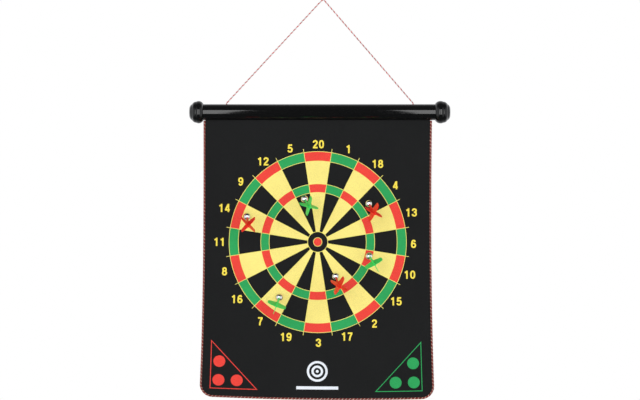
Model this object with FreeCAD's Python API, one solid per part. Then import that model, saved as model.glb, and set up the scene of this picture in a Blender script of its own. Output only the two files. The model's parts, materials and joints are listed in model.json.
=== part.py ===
"""Roll-up magnetic dartboard: a soft mat hung from a slotted tube on a string, with six darts.

Millimetres, +Z up, +Y towards the wall. The origin is the axis of the nail that holds the string.
"""

import FreeCAD, Part
import math
import os

V = FreeCAD.Vector
X_AXIS = V(1, 0, 0)
Y_AXIS = V(0, 1, 0)
Z_AXIS = V(0, 0, 1)

# --- Driving dimensions -------------------------------------------------------------------

# Tube across the top
TUBE_DIAMETER = 25.0
TUBE_WALL = 1.6
TUBE_SHOWN = 366.0  # between the two end caps
TUBE_DROP = 173.0  # from the nail down to the tube's axis
TUBE_SHIFT = -5.0  # the nail isn't quite over the tube's middle
SLOT_CLEARANCE = 0.5  # on each side of the mat

# End caps: three turned rings, the largest beside the tube
CAP_SOCKET = 8.0  # length of tube held in each cap
CAP_SOCKET_SPARE = 1.0
CAP_FIT = 0.05
CAP_LIP = 0.6  # of plastic round the tube where it enters the cap
RING_HEIGHT = 5.0  # of the largest ring, above the tube's surface
RING_LENGTH = 10.9
RING_PEAK = 7.0  # from the cap's open end to its fullest point
RING_FOOT = 4.0  # above the tube's surface, in the groove after the first ring
SHOULDER_CREST = 3.2  # above the tube's surface
SHOULDER_LENGTH = 6.5
SHOULDER_FOOT = 0.1  # inside the tube's surface, in the groove after the shoulder
BUTTON_CREST = 1.3  # inside the tube's surface
BUTTON_LENGTH = 4.2
BUTTON_FACE = 5.0  # inside the tube's surface, at the cap's flat end

# Mat: two flock cloths on a magnetic core, sewn round its edge
MAT_GAP_LEFT = 0.5  # from the cap to the mat's edge
MAT_GAP_RIGHT = 8.5
MAT_SHOWN = 437.0  # from under the tube to the bottom edge
MAT_CORNER = 20.0
CLOTH_THICKNESS = 0.6
CORE_THICKNESS = 0.8
STITCH_WIDTH = 2.8
STITCH_PROUD = 0.6  # beyond each face of the mat
STITCH_GAP = 1.0  # between the tube and where the stitching starts

# Strip inside the tube that keeps the mat from pulling out of the slot
STRIP_WALL = 3.0
STRIP_HEIGHT = 9.0
STRIP_ROOF = 2.0
STRIP_REST = 0.25  # clearance over the tube's inner wall
STRIP_END_GAP = 2.0  # back from the sheets' edges

# Rivets through the strip and the mat
RIVET_COUNT = 5
RIVET_RADIUS = 1.3
RIVET_FIT = 0.05
RIVET_HEAD_RADIUS = 2.3
RIVET_HEAD = 0.7
RIVET_END = 30.0  # from the strip's ends to the first and last rivets

# String over the nail
STRING_DIAMETER = 2.0
NAIL_DIAMETER = 4.4
HOLE_INSET = 36.5  # from the cap to each string hole
HOLE_CLEARANCE = 1.2  # round the string in its hole
PIVOT_CLEARANCE = 0.5  # under the string where it bends above the tube
STRING_END_GAP = 0.4
KNOT_GRIP = 0.7  # how far the knot reaches past its hole all round
KNOT_CLEARANCE = 0.5
KNOT_TAIL_GAP = 0.4  # between the knot's tail and the strip below it

# Darts
BALL_RADIUS = 6.0
MAGNET_RADIUS = 4.0
MAGNET_THICKNESS = 3.0
MAGNET_FIT = 0.05
MAGNET_RIM = 0.42  # of the ball round its magnet, on the mat
STEM_RADIUS = 1.5
STEM_FIT = 0.05
STEM_START = 2.2  # from the ball's centre
FLIGHT_START = 31.0
FLIGHT_LENGTH = 29.0
FLIGHT_SPAN = 30.0
FLIGHT_THICKNESS = 0.9
WING_CORNER = 0.88  # of half the span, at both ends of the wing's rounded tip
WING_WAIST = 0.5  # of half the span, halfway round the wing's trailing edge
TIP_FRONT = 0.24  # of the flight's length, where the wing's tip starts
TIP_MIDDLE = 0.55  # where the wing is widest
TIP_REAR = 0.86  # where the wing's tip ends
TRAILING_MIDDLE = 0.97  # where the trailing edge is at its waist
TAIL_LENGTH = 1.5  # of stem behind the flight
TARGET_DROP = 204.5  # from the tube's axis down to the bull
LEAN_ARM = 45.5  # from the ball's centre to the middle of the flight

# Each dart: name, place right of and above the bull, lean of its tail right and down, roll
DARTS = (
    ("red_dart_1", -110.0, 40.5, 3.1, 11.4, 45.0),
    ("green_dart_1", -20.0, 68.2, 6.8, 10.3, -14.0),
    ("red_dart_2", 81.0, 61.0, 5.6, 11.4, -28.0),
    ("red_dart_3", 28.5, -53.0, 5.0, 10.9, -29.0),
    ("green_dart_2", 81.5, -21.5, 5.7, 9.3, 29.0),
    ("green_dart_3", -59.5, -86.0, -2.9, 9.0, -21.0),
)

# --- Sizes that follow ---------------------------------------------------------------------

TUBE_RADIUS = TUBE_DIAMETER / 2
TUBE_BORE = TUBE_RADIUS - TUBE_WALL
TUBE_Z = -TUBE_DROP
MAT_THICKNESS = 2 * CLOTH_THICKNESS + CORE_THICKNESS
MAT_FRONT = -MAT_THICKNESS / 2
MAT_WIDTH = TUBE_SHOWN - MAT_GAP_LEFT - MAT_GAP_RIGHT
MAT_X = TUBE_SHIFT + (MAT_GAP_LEFT - MAT_GAP_RIGHT) / 2
SHEET_WIDTH = MAT_WIDTH - 2 * STITCH_WIDTH
MAT_BOTTOM = TUBE_Z - TUBE_RADIUS - MAT_SHOWN
STITCH_TOP = TUBE_Z - TUBE_RADIUS - STITCH_GAP
SLOT_WIDTH = MAT_THICKNESS + 2 * SLOT_CLEARANCE
STRIP_WIDTH = MAT_THICKNESS + 2 * STRIP_WALL
STRIP_BOTTOM = TUBE_Z - math.sqrt(TUBE_BORE**2 - (STRIP_WIDTH / 2) ** 2) + STRIP_REST
STRIP_TOP = STRIP_BOTTOM + STRIP_HEIGHT
SHEET_TOP = STRIP_TOP - STRIP_ROOF
STRIP_LENGTH = SHEET_WIDTH - 2 * STRIP_END_GAP
RIVET_Z = (STRIP_BOTTOM + SHEET_TOP) / 2
STRING_RADIUS = STRING_DIAMETER / 2
STRING_BEND = NAIL_DIAMETER / 2 + STRING_RADIUS
STRING_Z = TUBE_Z + TUBE_RADIUS + STRING_RADIUS + PIVOT_CLEARANCE
HOLE_RADIUS = STRING_RADIUS + HOLE_CLEARANCE
KNOT_RADIUS = HOLE_RADIUS + KNOT_GRIP
BALL_OVERHANG = math.sqrt(BALL_RADIUS**2 - (MAGNET_RADIUS + MAGNET_FIT + MAGNET_RIM) ** 2)


def write(node, shape):
    """Save one piece as parts/NODE.step."""
    shape.exportStep(f"parts/{node}.step")
    print(f"{node}: {len(shape.Solids)} solids, {shape.Volume:.1f} cubic mm")


def plate(face, thickness):
    """A flat face in the XZ plane given thickness along +Y."""
    return face.extrude(Y_AXIS * thickness)


def face_of(edges):
    """The face inside a closed loop of edges."""
    return Part.Face(Part.Wire(edges))


def line(a, b):
    return Part.LineSegment(a, b).toShape()


def arc(a, through, b):
    return Part.Arc(a, through, b).toShape()


# --- Tube and its end caps -----------------------------------------------------------------


def hole_places():
    """X of the two string holes."""
    return [TUBE_SHIFT + side * (TUBE_SHOWN / 2 - HOLE_INSET) for side in (-1, 1)]


def hanging_tube():
    """Pipe with a slot along its underside for the mat and two holes on top for the string."""
    length = TUBE_SHOWN + 2 * CAP_SOCKET
    start = V(TUBE_SHIFT - length / 2, 0, TUBE_Z)
    tube = Part.makeCylinder(TUBE_RADIUS, length, start, X_AXIS)
    tube = tube.cut(Part.makeCylinder(TUBE_BORE, length, start, X_AXIS))
    slot_corner = start + V(0, -SLOT_WIDTH / 2, -TUBE_DIAMETER)
    tube = tube.cut(Part.makeBox(length, SLOT_WIDTH, TUBE_DIAMETER, slot_corner))
    for x in hole_places():
        drill = Part.makeCylinder(HOLE_RADIUS, TUBE_DIAMETER, V(x, 0, TUBE_Z), Z_AXIS)
        tube = tube.cut(drill)
    return tube


def cap_profile():
    """Half section of a cap: X runs outwards from its open end, Z is the radius."""
    socket = TUBE_RADIUS + CAP_FIT
    socket_end = CAP_SOCKET + CAP_SOCKET_SPARE
    shoulder_end = RING_LENGTH + SHOULDER_LENGTH
    button_end = shoulder_end + BUTTON_LENGTH
    lip = V(0, 0, socket + CAP_LIP)
    ring_top = V(RING_PEAK, 0, TUBE_RADIUS + RING_HEIGHT)
    ring_foot = V(RING_LENGTH, 0, TUBE_RADIUS + RING_FOOT)
    shoulder_top = V(RING_LENGTH + SHOULDER_LENGTH / 2, 0, TUBE_RADIUS + SHOULDER_CREST)
    shoulder_foot = V(shoulder_end, 0, TUBE_RADIUS - SHOULDER_FOOT)
    button_top = V(shoulder_end + BUTTON_LENGTH / 2, 0, TUBE_RADIUS - BUTTON_CREST)
    face_rim = V(button_end, 0, TUBE_RADIUS - BUTTON_FACE)
    return face_of(
        [
            line(V(0, 0, socket), lip),
            arc(lip, ring_top, ring_foot),
            arc(ring_foot, shoulder_top, shoulder_foot),
            arc(shoulder_foot, button_top, face_rim),
            line(face_rim, V(button_end, 0, 0)),
            line(V(button_end, 0, 0), V(socket_end, 0, 0)),
            line(V(socket_end, 0, 0), V(socket_end, 0, socket)),
            line(V(socket_end, 0, socket), V(0, 0, socket)),
        ]
    )


def end_cap(side):
    """Turned finial that slips over the tube's end. The side is -1 for left and 1 for right."""
    cap = cap_profile().revolve(V(0, 0, 0), X_AXIS, 360)
    cap = Part.makeSolid(cap.Shells[0])
    if side < 0:
        cap = cap.mirror(V(0, 0, 0), X_AXIS)
    cap.translate(V(TUBE_SHIFT + side * TUBE_SHOWN / 2, 0, TUBE_Z))
    return cap


# --- Mat -----------------------------------------------------------------------------------


def mat_outline(inset, top, y):
    """The mat's outline inset from its sewn edge: square at the top, round at the bottom."""
    left = MAT_X - MAT_WIDTH / 2 + inset
    right = MAT_X + MAT_WIDTH / 2 - inset
    bottom = MAT_BOTTOM + inset
    radius = MAT_CORNER - inset
    cut = radius * (1 - math.sqrt(0.5))
    return face_of(
        [
            line(V(left, y, top), V(left, y, bottom + radius)),
            arc(
                V(left, y, bottom + radius),
                V(left + cut, y, bottom + cut),
                V(left + radius, y, bottom),
            ),
            line(V(left + radius, y, bottom), V(right - radius, y, bottom)),
            arc(
                V(right - radius, y, bottom),
                V(right - cut, y, bottom + cut),
                V(right, y, bottom + radius),
            ),
            line(V(right, y, bottom + radius), V(right, y, top)),
            line(V(right, y, top), V(left, y, top)),
        ]
    )


def rivet_places():
    """X of each rivet, evenly spaced along the strip."""
    first = MAT_X - STRIP_LENGTH / 2 + RIVET_END
    pitch = (STRIP_LENGTH - 2 * RIVET_END) / (RIVET_COUNT - 1)
    return [first + i * pitch for i in range(RIVET_COUNT)]


def drilled(shape):
    """The shape with a clearance hole for each rivet."""
    for x in rivet_places():
        start = V(x, -STRIP_WIDTH, RIVET_Z)
        drill = Part.makeCylinder(RIVET_RADIUS + RIVET_FIT, 2 * STRIP_WIDTH, start, Y_AXIS)
        shape = shape.cut(drill)
    return shape


def mat_layer(y, thickness):
    """One flat layer of the mat, from y towards the wall, with its holes for the rivets."""
    return drilled(plate(mat_outline(STITCH_WIDTH, SHEET_TOP, y), thickness))


def back_cloth():
    """The rear layer, whose hanging part is a face of its own, divided off under the tube."""
    cloth = mat_layer(-MAT_FRONT - CLOTH_THICKNESS, CLOTH_THICKNESS)
    corner = V(MAT_X - MAT_WIDTH / 2, MAT_FRONT, STITCH_TOP)
    held_part = Part.makeBox(MAT_WIDTH, MAT_THICKNESS, TUBE_DIAMETER, corner)
    return cloth.cut(held_part).fuse(cloth.common(held_part))


def edge_stitching():
    """Sewn edge down both sides and along the bottom, butted on the layers it holds."""
    y = MAT_FRONT - STITCH_PROUD
    thickness = MAT_THICKNESS + 2 * STITCH_PROUD
    outside = plate(mat_outline(0, STITCH_TOP, y), thickness)
    inside = plate(mat_outline(STITCH_WIDTH, SHEET_TOP, y), thickness)
    return outside.cut(inside)


def retaining_strip():
    """U-shaped strip over the mat's top edge, wider than the tube's slot."""
    start = V(MAT_X - STRIP_LENGTH / 2, -STRIP_WIDTH / 2, STRIP_BOTTOM)
    strip = Part.makeBox(STRIP_LENGTH, STRIP_WIDTH, STRIP_HEIGHT, start)
    groove_corner = V(start.x, MAT_FRONT, STRIP_BOTTOM)
    groove = Part.makeBox(STRIP_LENGTH, MAT_THICKNESS, SHEET_TOP - STRIP_BOTTOM, groove_corner)
    return drilled(strip.cut(groove))


def strip_rivets():
    """Rivets through the strip and the mat, as one group of separate solids."""
    rivets = []
    for x in rivet_places():
        front = V(x, -STRIP_WIDTH / 2, RIVET_Z)
        back = V(x, STRIP_WIDTH / 2, RIVET_Z)
        rivet = Part.makeCylinder(RIVET_RADIUS, STRIP_WIDTH, front, Y_AXIS)
        rivet = rivet.fuse(Part.makeCylinder(RIVET_HEAD_RADIUS, RIVET_HEAD, front, -Y_AXIS))
        rivet = rivet.fuse(Part.makeCylinder(RIVET_HEAD_RADIUS, RIVET_HEAD, back, Y_AXIS))
        rivets.append(rivet.removeSplitter())
    return Part.makeCompound(rivets)


# --- String --------------------------------------------------------------------------------


def tangent_angle(x, z, radius):
    """Slope above the horizontal, in radians, of the line from (x, z) over a circle at the origin."""
    distance = math.hypot(x, z)
    return math.asin(radius / distance) + math.atan2(-z, abs(x))


def string_route():
    """Corners of the string: its left end, the two turns over the nail, its right end."""
    left_x, right_x = hole_places()
    left_slope = tangent_angle(left_x, STRING_Z, STRING_BEND)
    right_slope = tangent_angle(right_x, STRING_Z, STRING_BEND)
    left_up = V(math.cos(left_slope), 0, math.sin(left_slope))
    right_up = V(-math.cos(right_slope), 0, math.sin(right_slope))
    return [
        V(left_x, 0, STRING_Z) + left_up * STRING_END_GAP,
        V(-STRING_BEND * math.tan(left_slope / 2), 0, STRING_BEND),
        V(STRING_BEND * math.tan(right_slope / 2), 0, STRING_BEND),
        V(right_x, 0, STRING_Z) + right_up * STRING_END_GAP,
    ]


def rounded_wire(points, radius):
    """A wire along the points, with an arc of the radius tangent to both runs at each corner."""
    edges = []
    start = points[0]
    for before, corner, after in zip(points, points[1:], points[2:]):
        back = (before - corner).normalize()
        ahead = (after - corner).normalize()
        half_turn = (math.pi - back.getAngle(ahead)) / 2
        reach = radius * math.tan(half_turn)
        middle = (back + ahead).normalize() * (radius / math.cos(half_turn) - radius)
        edges.append(line(start, corner + back * reach))
        edges.append(arc(corner + back * reach, corner + middle, corner + ahead * reach))
        start = corner + ahead * reach
        turn = math.degrees(2 * half_turn)
        print(f"string arc of radius {radius:.2f} mm turns {turn:.1f} degrees")
    edges.append(line(start, points[-1]))
    return Part.Wire([e for e in edges if e.Length > 1e-6])


def hanging_string():
    """Tight string from one hole over the nail to the other, as one round tube."""
    points = string_route()
    wire = rounded_wire(points, STRING_BEND)
    along = (points[1] - points[0]).normalize()
    section = Part.Wire(Part.makeCircle(STRING_RADIUS, points[0], along))
    tube = wire.makePipeShell([section], True, False, 1)
    share = tube.Volume / (math.pi * STRING_RADIUS**2 * wire.Length)
    print(f"string length {wire.Length:.1f} mm, volume {share:.4f} of its section times that")
    return tube


def string_knot(x):
    """Knot inside the tube under its hole, with the string through the hole and a short tail."""
    wall = TUBE_Z + TUBE_BORE
    height_in_hole = math.sqrt(KNOT_RADIUS**2 - HOLE_RADIUS**2)
    centre = V(x, 0, wall - height_in_hole - KNOT_CLEARANCE)
    top = STRING_Z - STRING_RADIUS - STRING_END_GAP / 2
    tail = centre.z - STRIP_TOP - KNOT_TAIL_GAP
    knot = Part.makeSphere(KNOT_RADIUS, centre)
    knot = knot.fuse(Part.makeCylinder(STRING_RADIUS, top - centre.z, centre, Z_AXIS))
    knot = knot.fuse(Part.makeCylinder(STRING_RADIUS, tail, centre, -Z_AXIS))
    return knot.removeSplitter()


# --- Darts ---------------------------------------------------------------------------------


def ball_centre(right, up):
    """Centre of a dart's ball, from its place relative to the bull."""
    return V(MAT_X + right, MAT_FRONT - BALL_OVERHANG, TUBE_Z - TARGET_DROP + up)


def lean_axis(lean_right, lean_down):
    """Unit vector along a dart's stem, from its ball to its tail."""
    out = math.sqrt(LEAN_ARM**2 - lean_right**2 - lean_down**2)
    return V(lean_right, -out, -lean_down).normalize()


def on_mat(centre):
    """The point of the mat's face behind a ball's centre."""
    return V(centre.x, MAT_FRONT, centre.z)


def dart_magnet(centre):
    """Disc magnet flush with the ball's flat front, against the mat."""
    return Part.makeCylinder(MAGNET_RADIUS, MAGNET_THICKNESS, on_mat(centre), -Y_AXIS)


def dart_ball(centre, axis):
    """Ball cut flat in front, with a pocket for the magnet and a socket for the stem."""
    ball = Part.makeSphere(BALL_RADIUS, centre)
    size = 2 * BALL_RADIUS
    cut_corner = on_mat(centre) - V(BALL_RADIUS, 0, BALL_RADIUS)
    ball = ball.cut(Part.makeBox(size, size, size, cut_corner))
    pocket_radius = MAGNET_RADIUS + MAGNET_FIT
    pocket_depth = MAGNET_THICKNESS + MAGNET_FIT
    ball = ball.cut(Part.makeCylinder(pocket_radius, pocket_depth, on_mat(centre), -Y_AXIS))
    socket_start = centre + axis * (STEM_START - STEM_FIT)
    return ball.cut(Part.makeCylinder(STEM_RADIUS + STEM_FIT, size, socket_start, axis))


def flight_blade():
    """One flat blade with two swept, round-tipped wings. Z runs along the stem, X across it."""
    half_span = FLIGHT_SPAN / 2
    y = -FLIGHT_THICKNESS / 2
    root_front = V(0, y, FLIGHT_START)
    root_rear = V(0, y, FLIGHT_START + FLIGHT_LENGTH)
    wings = []
    for side in (-1, 1):

        def at(across, along, side=side):
            """A point of the wing, from shares of half the span and of the flight's length."""
            return V(side * across * half_span, y, FLIGHT_START + along * FLIGHT_LENGTH)

        tip_front = at(WING_CORNER, TIP_FRONT)
        tip_rear = at(WING_CORNER, TIP_REAR)
        edges = [
            line(root_front, tip_front),
            arc(tip_front, at(1, TIP_MIDDLE), tip_rear),
            arc(tip_rear, at(WING_WAIST, TRAILING_MIDDLE), root_rear),
            line(root_rear, root_front),
        ]
        wings.append(plate(face_of(edges), FLIGHT_THICKNESS))
    return wings[0].fuse(wings[1])


def dart_flight(centre, axis, roll):
    """Stem and four-winged flight moulded in one, leaning along the axis from the ball."""
    length = FLIGHT_START + FLIGHT_LENGTH + TAIL_LENGTH - STEM_START
    flight = Part.makeCylinder(STEM_RADIUS, length, V(0, 0, STEM_START), Z_AXIS)
    blade = flight_blade()
    crossed = blade.copy()
    crossed.rotate(V(0, 0, 0), Z_AXIS, 90)
    flight = flight.fuse([blade, crossed]).removeSplitter()
    # Seen from behind, the first blade's X runs to the right before the roll turns it
    flight.rotate(V(0, 0, 0), Z_AXIS, roll)
    upright = FreeCAD.Rotation(Z_AXIS, -Y_AXIS)
    lean = FreeCAD.Rotation(-Y_AXIS, axis)
    placed = FreeCAD.Placement(centre, lean.multiply(upright))
    flight.Placement = placed.multiply(flight.Placement)
    return flight


# --- Write every piece ---------------------------------------------------------------------


def main():
    os.makedirs("parts", exist_ok=True)
    write("hanging_tube", hanging_tube())
    write("end_cap_left", end_cap(-1))
    write("end_cap_right", end_cap(1))
    write("front_cloth", mat_layer(MAT_FRONT, CLOTH_THICKNESS))
    write("magnetic_core", mat_layer(MAT_FRONT + CLOTH_THICKNESS, CORE_THICKNESS))
    write("back_cloth", back_cloth())
    write("edge_stitching", edge_stitching())
    write("retaining_strip", retaining_strip())
    write("strip_rivets", strip_rivets())
    write("hanging_string", hanging_string())
    for side, x in zip(("left", "right"), hole_places()):
        write(f"string_knot_{side}", string_knot(x))
    for name, right, up, lean_right, lean_down, roll in DARTS:
        centre = ball_centre(right, up)
        axis = lean_axis(lean_right, lean_down)
        write(f"{name}_magnet", dart_magnet(centre))
        write(f"{name}_ball", dart_ball(centre, axis))
        write(f"{name}_flight", dart_flight(centre, axis, roll))


main()
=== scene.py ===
"""Magnetic dartboard: its looks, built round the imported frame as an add-on that runs as a script.

Lengths are in metres. X runs to the player's right, Y towards the wall and Z up. The origin is the
nail that the string hangs over.
"""

import json
import math

import bmesh
import bpy
import numpy as np
from bpy.props import FloatProperty, FloatVectorProperty, IntProperty, PointerProperty
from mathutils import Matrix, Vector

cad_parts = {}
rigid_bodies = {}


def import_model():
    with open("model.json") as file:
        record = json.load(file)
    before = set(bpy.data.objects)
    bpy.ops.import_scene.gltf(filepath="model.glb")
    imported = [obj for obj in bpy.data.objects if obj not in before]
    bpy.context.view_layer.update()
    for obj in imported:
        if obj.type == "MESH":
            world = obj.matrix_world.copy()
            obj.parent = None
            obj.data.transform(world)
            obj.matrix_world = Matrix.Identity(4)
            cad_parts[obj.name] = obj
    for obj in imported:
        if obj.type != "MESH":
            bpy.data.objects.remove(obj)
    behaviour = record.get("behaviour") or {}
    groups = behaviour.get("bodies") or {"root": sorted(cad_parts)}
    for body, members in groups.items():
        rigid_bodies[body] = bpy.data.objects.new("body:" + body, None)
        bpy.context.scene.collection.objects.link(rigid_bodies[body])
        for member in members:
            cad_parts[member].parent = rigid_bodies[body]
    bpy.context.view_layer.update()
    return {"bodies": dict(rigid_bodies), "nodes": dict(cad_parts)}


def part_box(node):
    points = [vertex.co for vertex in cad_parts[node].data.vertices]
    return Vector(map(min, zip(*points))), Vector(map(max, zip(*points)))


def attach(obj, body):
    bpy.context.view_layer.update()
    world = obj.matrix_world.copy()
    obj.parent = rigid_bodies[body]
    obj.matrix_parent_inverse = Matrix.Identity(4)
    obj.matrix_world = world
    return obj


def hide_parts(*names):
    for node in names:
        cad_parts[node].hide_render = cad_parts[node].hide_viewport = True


bl_info = {
    "name": "Magnetic Dartboard",
    "version": (1, 0, 0),
    "blender": (4, 5, 0),
    "location": "3D View > Sidebar > Dartboard",
    "description": "Builds the mat, print, stitching, string and darts round the dartboard's frame",
    "category": "Object",
}

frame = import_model()

# --- Places taken from the frame -------------------------------------------------------------

BOARD = "board"
DART_COLOURS = ("red", "green")
DARTS = sorted(name for name in frame["bodies"] if name.split("_")[0] in DART_COLOURS)


def corners(node):
    """A node's lowest and highest corners, as arrays."""
    low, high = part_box(node)
    return np.array(low), np.array(high)


TUBE_LOW, TUBE_HIGH = corners("hanging_tube")
EDGE_LOW, EDGE_HIGH = corners("edge_stitching")
CLOTH_LOW = corners("front_cloth")[0]
KNOT_LOW, KNOT_HIGH = corners("string_knot_left")
TUBE_RADIUS = (TUBE_HIGH[1] - TUBE_LOW[1]) / 2
TUBE_Z = TUBE_HIGH[2] - TUBE_RADIUS
MAT_X = (EDGE_LOW[0] + EDGE_HIGH[0]) / 2
MAT_HALF = (EDGE_HIGH[0] - EDGE_LOW[0]) / 2
STITCH_WIDTH = CLOTH_LOW[0] - EDGE_LOW[0]
KNOT_X = [(corners(f"string_knot_{side}")[0][0] + corners(f"string_knot_{side}")[1][0]) / 2
          for side in ("left", "right")]

# The string's corners, from one hole over the nail to the other
STRING_ROUTE = (
    (-0.15123, 0.0, -0.15871),
    (-0.00957, 0.0, -0.00565),
    (-0.00140, 0.0, 0.00320),
    (0.00147, 0.0, 0.00320),
    (0.00930, 0.0, -0.00588),
    (0.14124, 0.0, -0.15870),
)
STRING_DIAMETER = 0.002

# Four strands make the string: how far each stands from its middle line, and which thread each is
STRAND_OFFSET = 0.00052
STRAND_RADIUS = 0.00048
STRAND_THREADS = (0, 0, 1, 1)

# Numbers clockwise from the top
DIAL = (20, 1, 18, 4, 13, 6, 10, 15, 2, 17, 3, 19, 7, 16, 8, 11, 14, 9, 12, 5)

# How far each number stands off its circle, in millimetres to the right and up
NUDGES = {20: (1, -3), 1: (1, -3), 18: (4, -4), 4: (-2, -3), 13: (1, -2), 6: (-3, -3), 10: (-2, -3),
          15: (-2, -1), 2: (-2, -1), 17: (-2, 1), 3: (1, -1), 19: (-2, 0), 7: (1, 2), 16: (-2, 2),
          8: (0, 2), 11: (-1, 0), 14: (-1, 5), 9: (3, 3), 12: (4, 0), 5: (4, -2)}

# Strokes of each figure, as corners in a box one high; a stroke whose ends meet is closed
ROUND_TOP = ((0.09, 0.69), (0.15, 0.85), (0.31, 0.91), (0.48, 0.84), (0.52, 0.69))
FIGURES = {
    "0": (((0.31, 0.91), (0.47, 0.82), (0.53, 0.50), (0.47, 0.18), (0.31, 0.09), (0.15, 0.18),
           (0.09, 0.50), (0.15, 0.82), (0.31, 0.91)),),
    "1": (((0.36, 0.0), (0.36, 1.0)), ((0.10, 0.74), (0.36, 0.86))),
    "2": ((*ROUND_TOP, (0.44, 0.51), (0.24, 0.31), (0.13, 0.12)), ((0.03, 0.09), (0.60, 0.09))),
    "3": ((*ROUND_TOP, (0.43, 0.56), (0.27, 0.53)),
          ((0.27, 0.53), (0.46, 0.47), (0.53, 0.30), (0.46, 0.14), (0.31, 0.09), (0.14, 0.15),
           (0.08, 0.31))),
    "4": (((0.44, 0.0), (0.44, 1.0)), ((0.42, 0.94), (0.09, 0.30)), ((0.02, 0.27), (0.61, 0.27))),
    "5": (((0.14, 0.91), (0.56, 0.91)), ((0.17, 0.95), (0.12, 0.46)),
          ((0.12, 0.50), (0.30, 0.59), (0.48, 0.51), (0.53, 0.33), (0.46, 0.15), (0.30, 0.09),
           (0.14, 0.14), (0.08, 0.28))),
    "6": (((0.51, 0.75), (0.43, 0.88), (0.31, 0.91), (0.16, 0.81), (0.10, 0.55), (0.09, 0.34)),
          ((0.31, 0.56), (0.46, 0.50), (0.53, 0.33), (0.46, 0.15), (0.31, 0.09), (0.16, 0.15),
           (0.09, 0.33), (0.16, 0.50), (0.31, 0.56))),
    "7": (((0.03, 0.91), (0.59, 0.91)), ((0.53, 0.88), (0.38, 0.62), (0.28, 0.32), (0.24, 0.0))),
    "8": (((0.31, 0.91), (0.45, 0.86), (0.49, 0.72), (0.44, 0.58), (0.31, 0.53), (0.18, 0.58),
           (0.13, 0.72), (0.17, 0.86), (0.31, 0.91)),
          ((0.31, 0.53), (0.47, 0.46), (0.53, 0.30), (0.46, 0.14), (0.31, 0.09), (0.16, 0.14),
           (0.09, 0.30), (0.15, 0.46), (0.31, 0.53))),
}
FIGURES["9"] = tuple(tuple((0.62 - x, 1.0 - z) for x, z in stroke) for stroke in FIGURES["6"])
FIGURE_WIDTH = 0.62
FIGURE_PITCH = 0.755

# Each dart's lean to the right and down over the arm to its flight, in millimetres, and its roll
LEAN_ARM = 45.5
LEANS = {
    "red_dart_1": (3.1, 11.4, 45.0),
    "green_dart_1": (6.8, 10.3, -14.0),
    "red_dart_2": (6.0, 12.6, -28.0),
    "red_dart_3": (5.2, 12.2, -29.0),
    "green_dart_2": (5.7, 9.3, 29.0),
    "green_dart_3": (-2.9, 9.0, -21.0),
}

# --- Sizes and colours that a user would change ------------------------------------------------


def length(name, default, description):
    """A length in metres, shown in the scene's own unit."""
    return FloatProperty(name=name, description=description, default=default, min=0.0,
                         precision=4, subtype="DISTANCE", unit="LENGTH")


def colour(name, default, description):
    """A linear colour with alpha."""
    return FloatVectorProperty(name=name, description=description, default=(*default, 1.0), size=4,
                               min=0.0, max=1.0, subtype="COLOR")


class DartboardSizes(bpy.types.PropertyGroup):
    target_drop: length("Target drop", 0.2037, "From the tube's axis down to the bull")
    target_side: length("Target side", 0.0007, "From the mat's middle line right to the bull")
    target_tall: FloatProperty(name="Target height", description="Print's height over its width",
                               default=1.022, min=0.9, max=1.1)
    double_outside: length("Double outside", 0.1388, "Outer radius of the double ring")
    double_inside: length("Double inside", 0.1243, "Inner radius of the double ring")
    triple_outside: length("Triple outside", 0.0892, "Outer radius of the triple ring")
    triple_inside: length("Triple inside", 0.0760, "Inner radius of the triple ring")
    bull_radius: length("Bull radius", 0.0157, "Radius of the black outer bull")
    eye_radius: length("Eye radius", 0.0063, "Radius of the red inner bull")
    line_width: length("Line width", 0.0008, "Width of the thin yellow lines")
    spoke_reach: length("Spoke reach", 0.1445, "Radius where the lines between sectors end")
    numeral_radius: length("Numeral radius", 0.1530, "From the bull to the middle of each number")
    numeral_height: length("Numeral height", 0.0128, "Height of the numbers")
    numeral_weight: length("Numeral weight", 0.0025, "Width of the numbers' strokes")
    rack_edge: length("Rack inset", 0.0149, "From the mat's edge to a dart rack's upright line")
    rack_bottom: length("Rack height", 0.0138, "From the mat's bottom edge to a rack's level line")
    rack_width: length("Rack width", 0.0727, "Length of a rack's level line")
    rack_tall: length("Rack upright", 0.0775, "Length of a rack's upright line")
    rack_line: length("Rack line", 0.0012, "Width of a rack's lines")
    rack_dot: length("Rack dot", 0.0091, "Radius of the spots where the darts wait")
    emblem_drop: length("Emblem drop", 0.4055, "From the tube's axis down to the roundel")
    emblem_radius: length("Emblem radius", 0.0160, "Outer radius of the roundel")
    ink: length("Ink height", 0.00006, "How far the print stands on the cloth")
    stitch_pitch: length("Stitch pitch", 0.0055, "Length of edge that one turn of thread covers")
    thread: length("Thread", 0.0011, "Diameter of the edge thread")
    string_pitch: length("String pitch", 0.0070, "Length of string to one turn of a strand")
    ripple: length("Ripple", 0.0003, "Depth of the mat's slow ripple")
    curl: length("Curl", 0.0045, "How far the mat's free corners stand forward")
    stitch_strands: IntProperty(name="Stitch strands", default=5, min=2, max=8,
                                description="Threads side by side round the mat's edge")


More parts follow.
